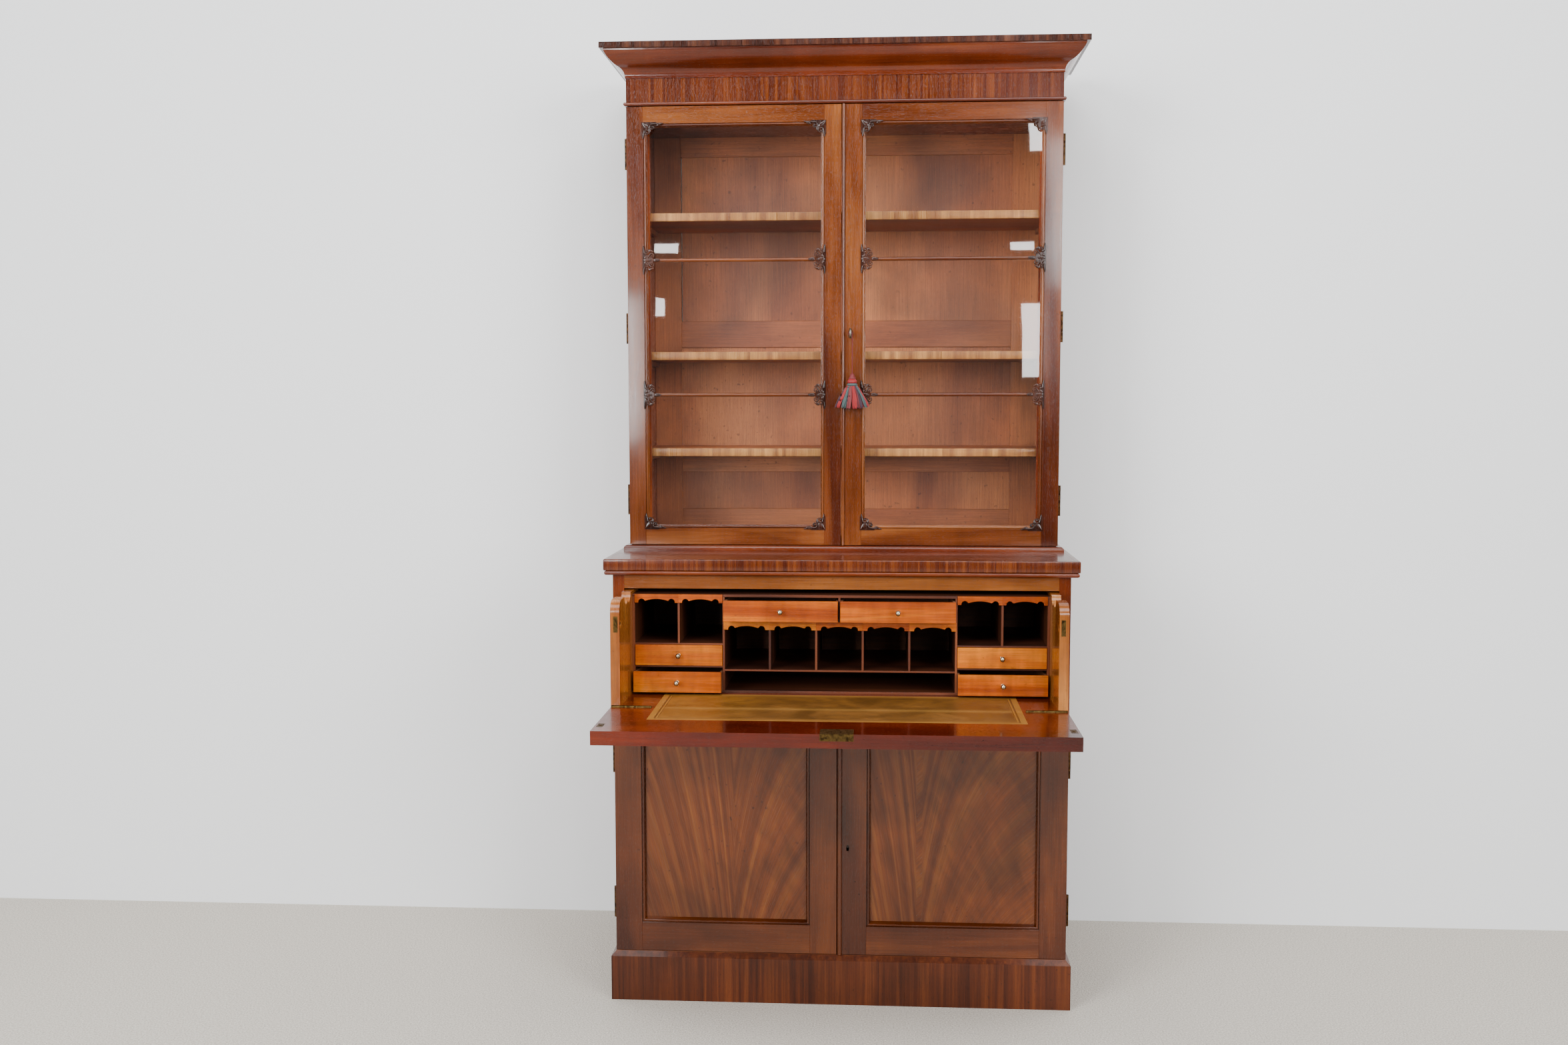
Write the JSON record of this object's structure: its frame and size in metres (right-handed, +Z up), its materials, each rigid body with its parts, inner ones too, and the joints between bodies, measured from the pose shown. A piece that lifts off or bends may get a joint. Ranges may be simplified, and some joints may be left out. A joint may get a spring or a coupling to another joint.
{
  "type": "secretary desk",
  "caption": "Glazed secretaire bookcase: panelled cupboard, pull-out writing drawer with fall front, pigeonholes and small drawers, and a glazed bookcase under a cornice.",
  "frame": {"origin": "on the floor under the middle of the base's front plane, on the underside of the plinth's front board", "axes": "+X to the right, +Y from the front to the back, +Z up"},
  "size_m": [1.1672, 0.968, 2.29],
  "materials": {
    "mahogany": "french polished",
    "crossband": "french polished crossbanded veneer",
    "figured_mahogany": "polished flame veneer",
    "carcase_wood": "waxed",
    "satinwood": "satin",
    "dark_interior": "stained",
    "writing_leather": "tooled",
    "brass": "aged",
    "steel": "aged",
    "window_glass": "clear",
    "silk_yarn": "twisted yarn"
  },
  "bodies": {
    "root": {"plinth": "crossband", "base_side_left": "mahogany", "base_side_right": "mahogany", "cupboard_boards": "carcase_wood", "base_back": "carcase_wood", "base_rails": "mahogany", "slab": "mahogany", "foot_moulding": "mahogany", "upper_side_left": "mahogany", "upper_side_right": "mahogany", "upper_boards": "mahogany", "upper_back": "carcase_wood", "book_shelves": "mahogany", "shelf_bearers": "carcase_wood", "frieze": "crossband", "cornice": "mahogany", "case_hinges": "brass"},
    "upper_door_left": {"upper_left_frame": "mahogany", "upper_left_glass": "window_glass", "upper_left_mounts": "mahogany", "upper_left_hinges": "brass"},
    "upper_door_right": {"upper_right_frame": "mahogany", "upper_right_glass": "window_glass", "upper_right_mounts": "mahogany", "upper_right_brass": "brass", "tassel_cord": "silk_yarn", "tassel": "silk_yarn"},
    "key": {"key": "steel"},
    "lower_door_left": {"lower_left_frame": "mahogany", "lower_left_panel": "figured_mahogany", "lower_left_hinges": "brass"},
    "lower_door_right": {"lower_right_frame": "mahogany", "lower_right_panel": "figured_mahogany", "lower_right_brass": "brass"},
    "secretaire_drawer": {"drawer_side_left": "mahogany", "drawer_side_right": "mahogany", "drawer_floor": "mahogany", "floor_leather": "writing_leather", "drawer_back": "carcase_wood", "drawer_brass": "brass", "nest_case": "dark_interior", "valances": "satinwood"},
    "thumb_bolt_left": {"thumb_bolt_left": "brass"},
    "thumb_bolt_right": {"thumb_bolt_right": "brass"},
    "fall": {"fall_board": "mahogany", "fall_leather": "writing_leather", "fall_brass": "brass"},
    "small_drawer_centre_left": {"small_drawer_centre_left": "satinwood", "small_drawer_centre_left_knob": "brass"},
    "small_drawer_centre_right": {"small_drawer_centre_right": "satinwood", "small_drawer_centre_right_knob": "brass"},
    "small_drawer_upper_left": {"small_drawer_upper_left": "satinwood", "small_drawer_upper_left_knob": "brass"},
    "small_drawer_upper_right": {"small_drawer_upper_right": "satinwood", "small_drawer_upper_right_knob": "brass"},
    "small_drawer_lower_left": {"small_drawer_lower_left": "satinwood", "small_drawer_lower_left_knob": "brass"},
    "small_drawer_lower_right": {"small_drawer_lower_right": "satinwood", "small_drawer_lower_right_knob": "brass"}
  },
  "joints": [
    {"name": "secretaire_slide", "type": "slide", "parent": "root", "child": "secretaire_drawer", "axis": [0, -1, 0], "range_m": [-0.227, 0.08]},
    {"name": "fall_hinge", "type": "hinge", "parent": "secretaire_drawer", "child": "fall", "pos_m": [0, -0.197, 0.751], "axis": [1, 0, 0], "range_deg": [-90, 0]},
    {"name": "upper_left_hinge", "type": "hinge", "parent": "root", "child": "upper_door_left", "pos_m": [-0.5323, 0.2372, 1.6], "axis": [0, 0, -1], "range_deg": [0, 110]},
    {"name": "lower_left_hinge", "type": "hinge", "parent": "root", "child": "lower_door_left", "pos_m": [-0.5383, 0.0252, 0.4], "axis": [0, 0, -1], "range_deg": [0, 110]},
    {"name": "upper_right_hinge", "type": "hinge", "parent": "root", "child": "upper_door_right", "pos_m": [0.5323, 0.2372, 1.6], "axis": [0, 0, 1], "range_deg": [0, 110]},
    {"name": "lower_right_hinge", "type": "hinge", "parent": "root", "child": "lower_door_right", "pos_m": [0.5383, 0.0252, 0.4], "axis": [0, 0, 1], "range_deg": [0, 110]},
    {"name": "key_turn", "type": "hinge", "parent": "upper_door_right", "child": "key", "pos_m": [0.02, 0.186, 1.596], "axis": [0, 1, 0], "range_deg": [0, 90]},
    {"name": "thumb_bolt_left_slide", "type": "slide", "parent": "secretaire_drawer", "child": "thumb_bolt_left", "axis": [0, -1, 0], "range_m": [0, 0.006]},
    {"name": "thumb_bolt_right_slide", "type": "slide", "parent": "secretaire_drawer", "child": "thumb_bolt_right", "axis": [0, -1, 0], "range_m": [0, 0.006]},
    {"name": "small_drawer_centre_left_slide", "type": "slide", "parent": "secretaire_drawer", "child": "small_drawer_centre_left", "axis": [0, -1, 0], "range_m": [-0.038, 0.105]},
    {"name": "small_drawer_centre_right_slide", "type": "slide", "parent": "secretaire_drawer", "child": "small_drawer_centre_right", "axis": [0, -1, 0], "range_m": [-0.038, 0.105]},
    {"name": "small_drawer_upper_left_slide", "type": "slide", "parent": "secretaire_drawer", "child": "small_drawer_upper_left", "axis": [0, -1, 0], "range_m": [0, 0.143]},
    {"name": "small_drawer_upper_right_slide", "type": "slide", "parent": "secretaire_drawer", "child": "small_drawer_upper_right", "axis": [0, -1, 0], "range_m": [0, 0.143]},
    {"name": "small_drawer_lower_left_slide", "type": "slide", "parent": "secretaire_drawer", "child": "small_drawer_lower_left", "axis": [0, -1, 0], "range_m": [-0.032, 0.111]},
    {"name": "small_drawer_lower_right_slide", "type": "slide", "parent": "secretaire_drawer", "child": "small_drawer_lower_right", "axis": [0, -1, 0], "range_m": [-0.032, 0.111]}
  ]
}
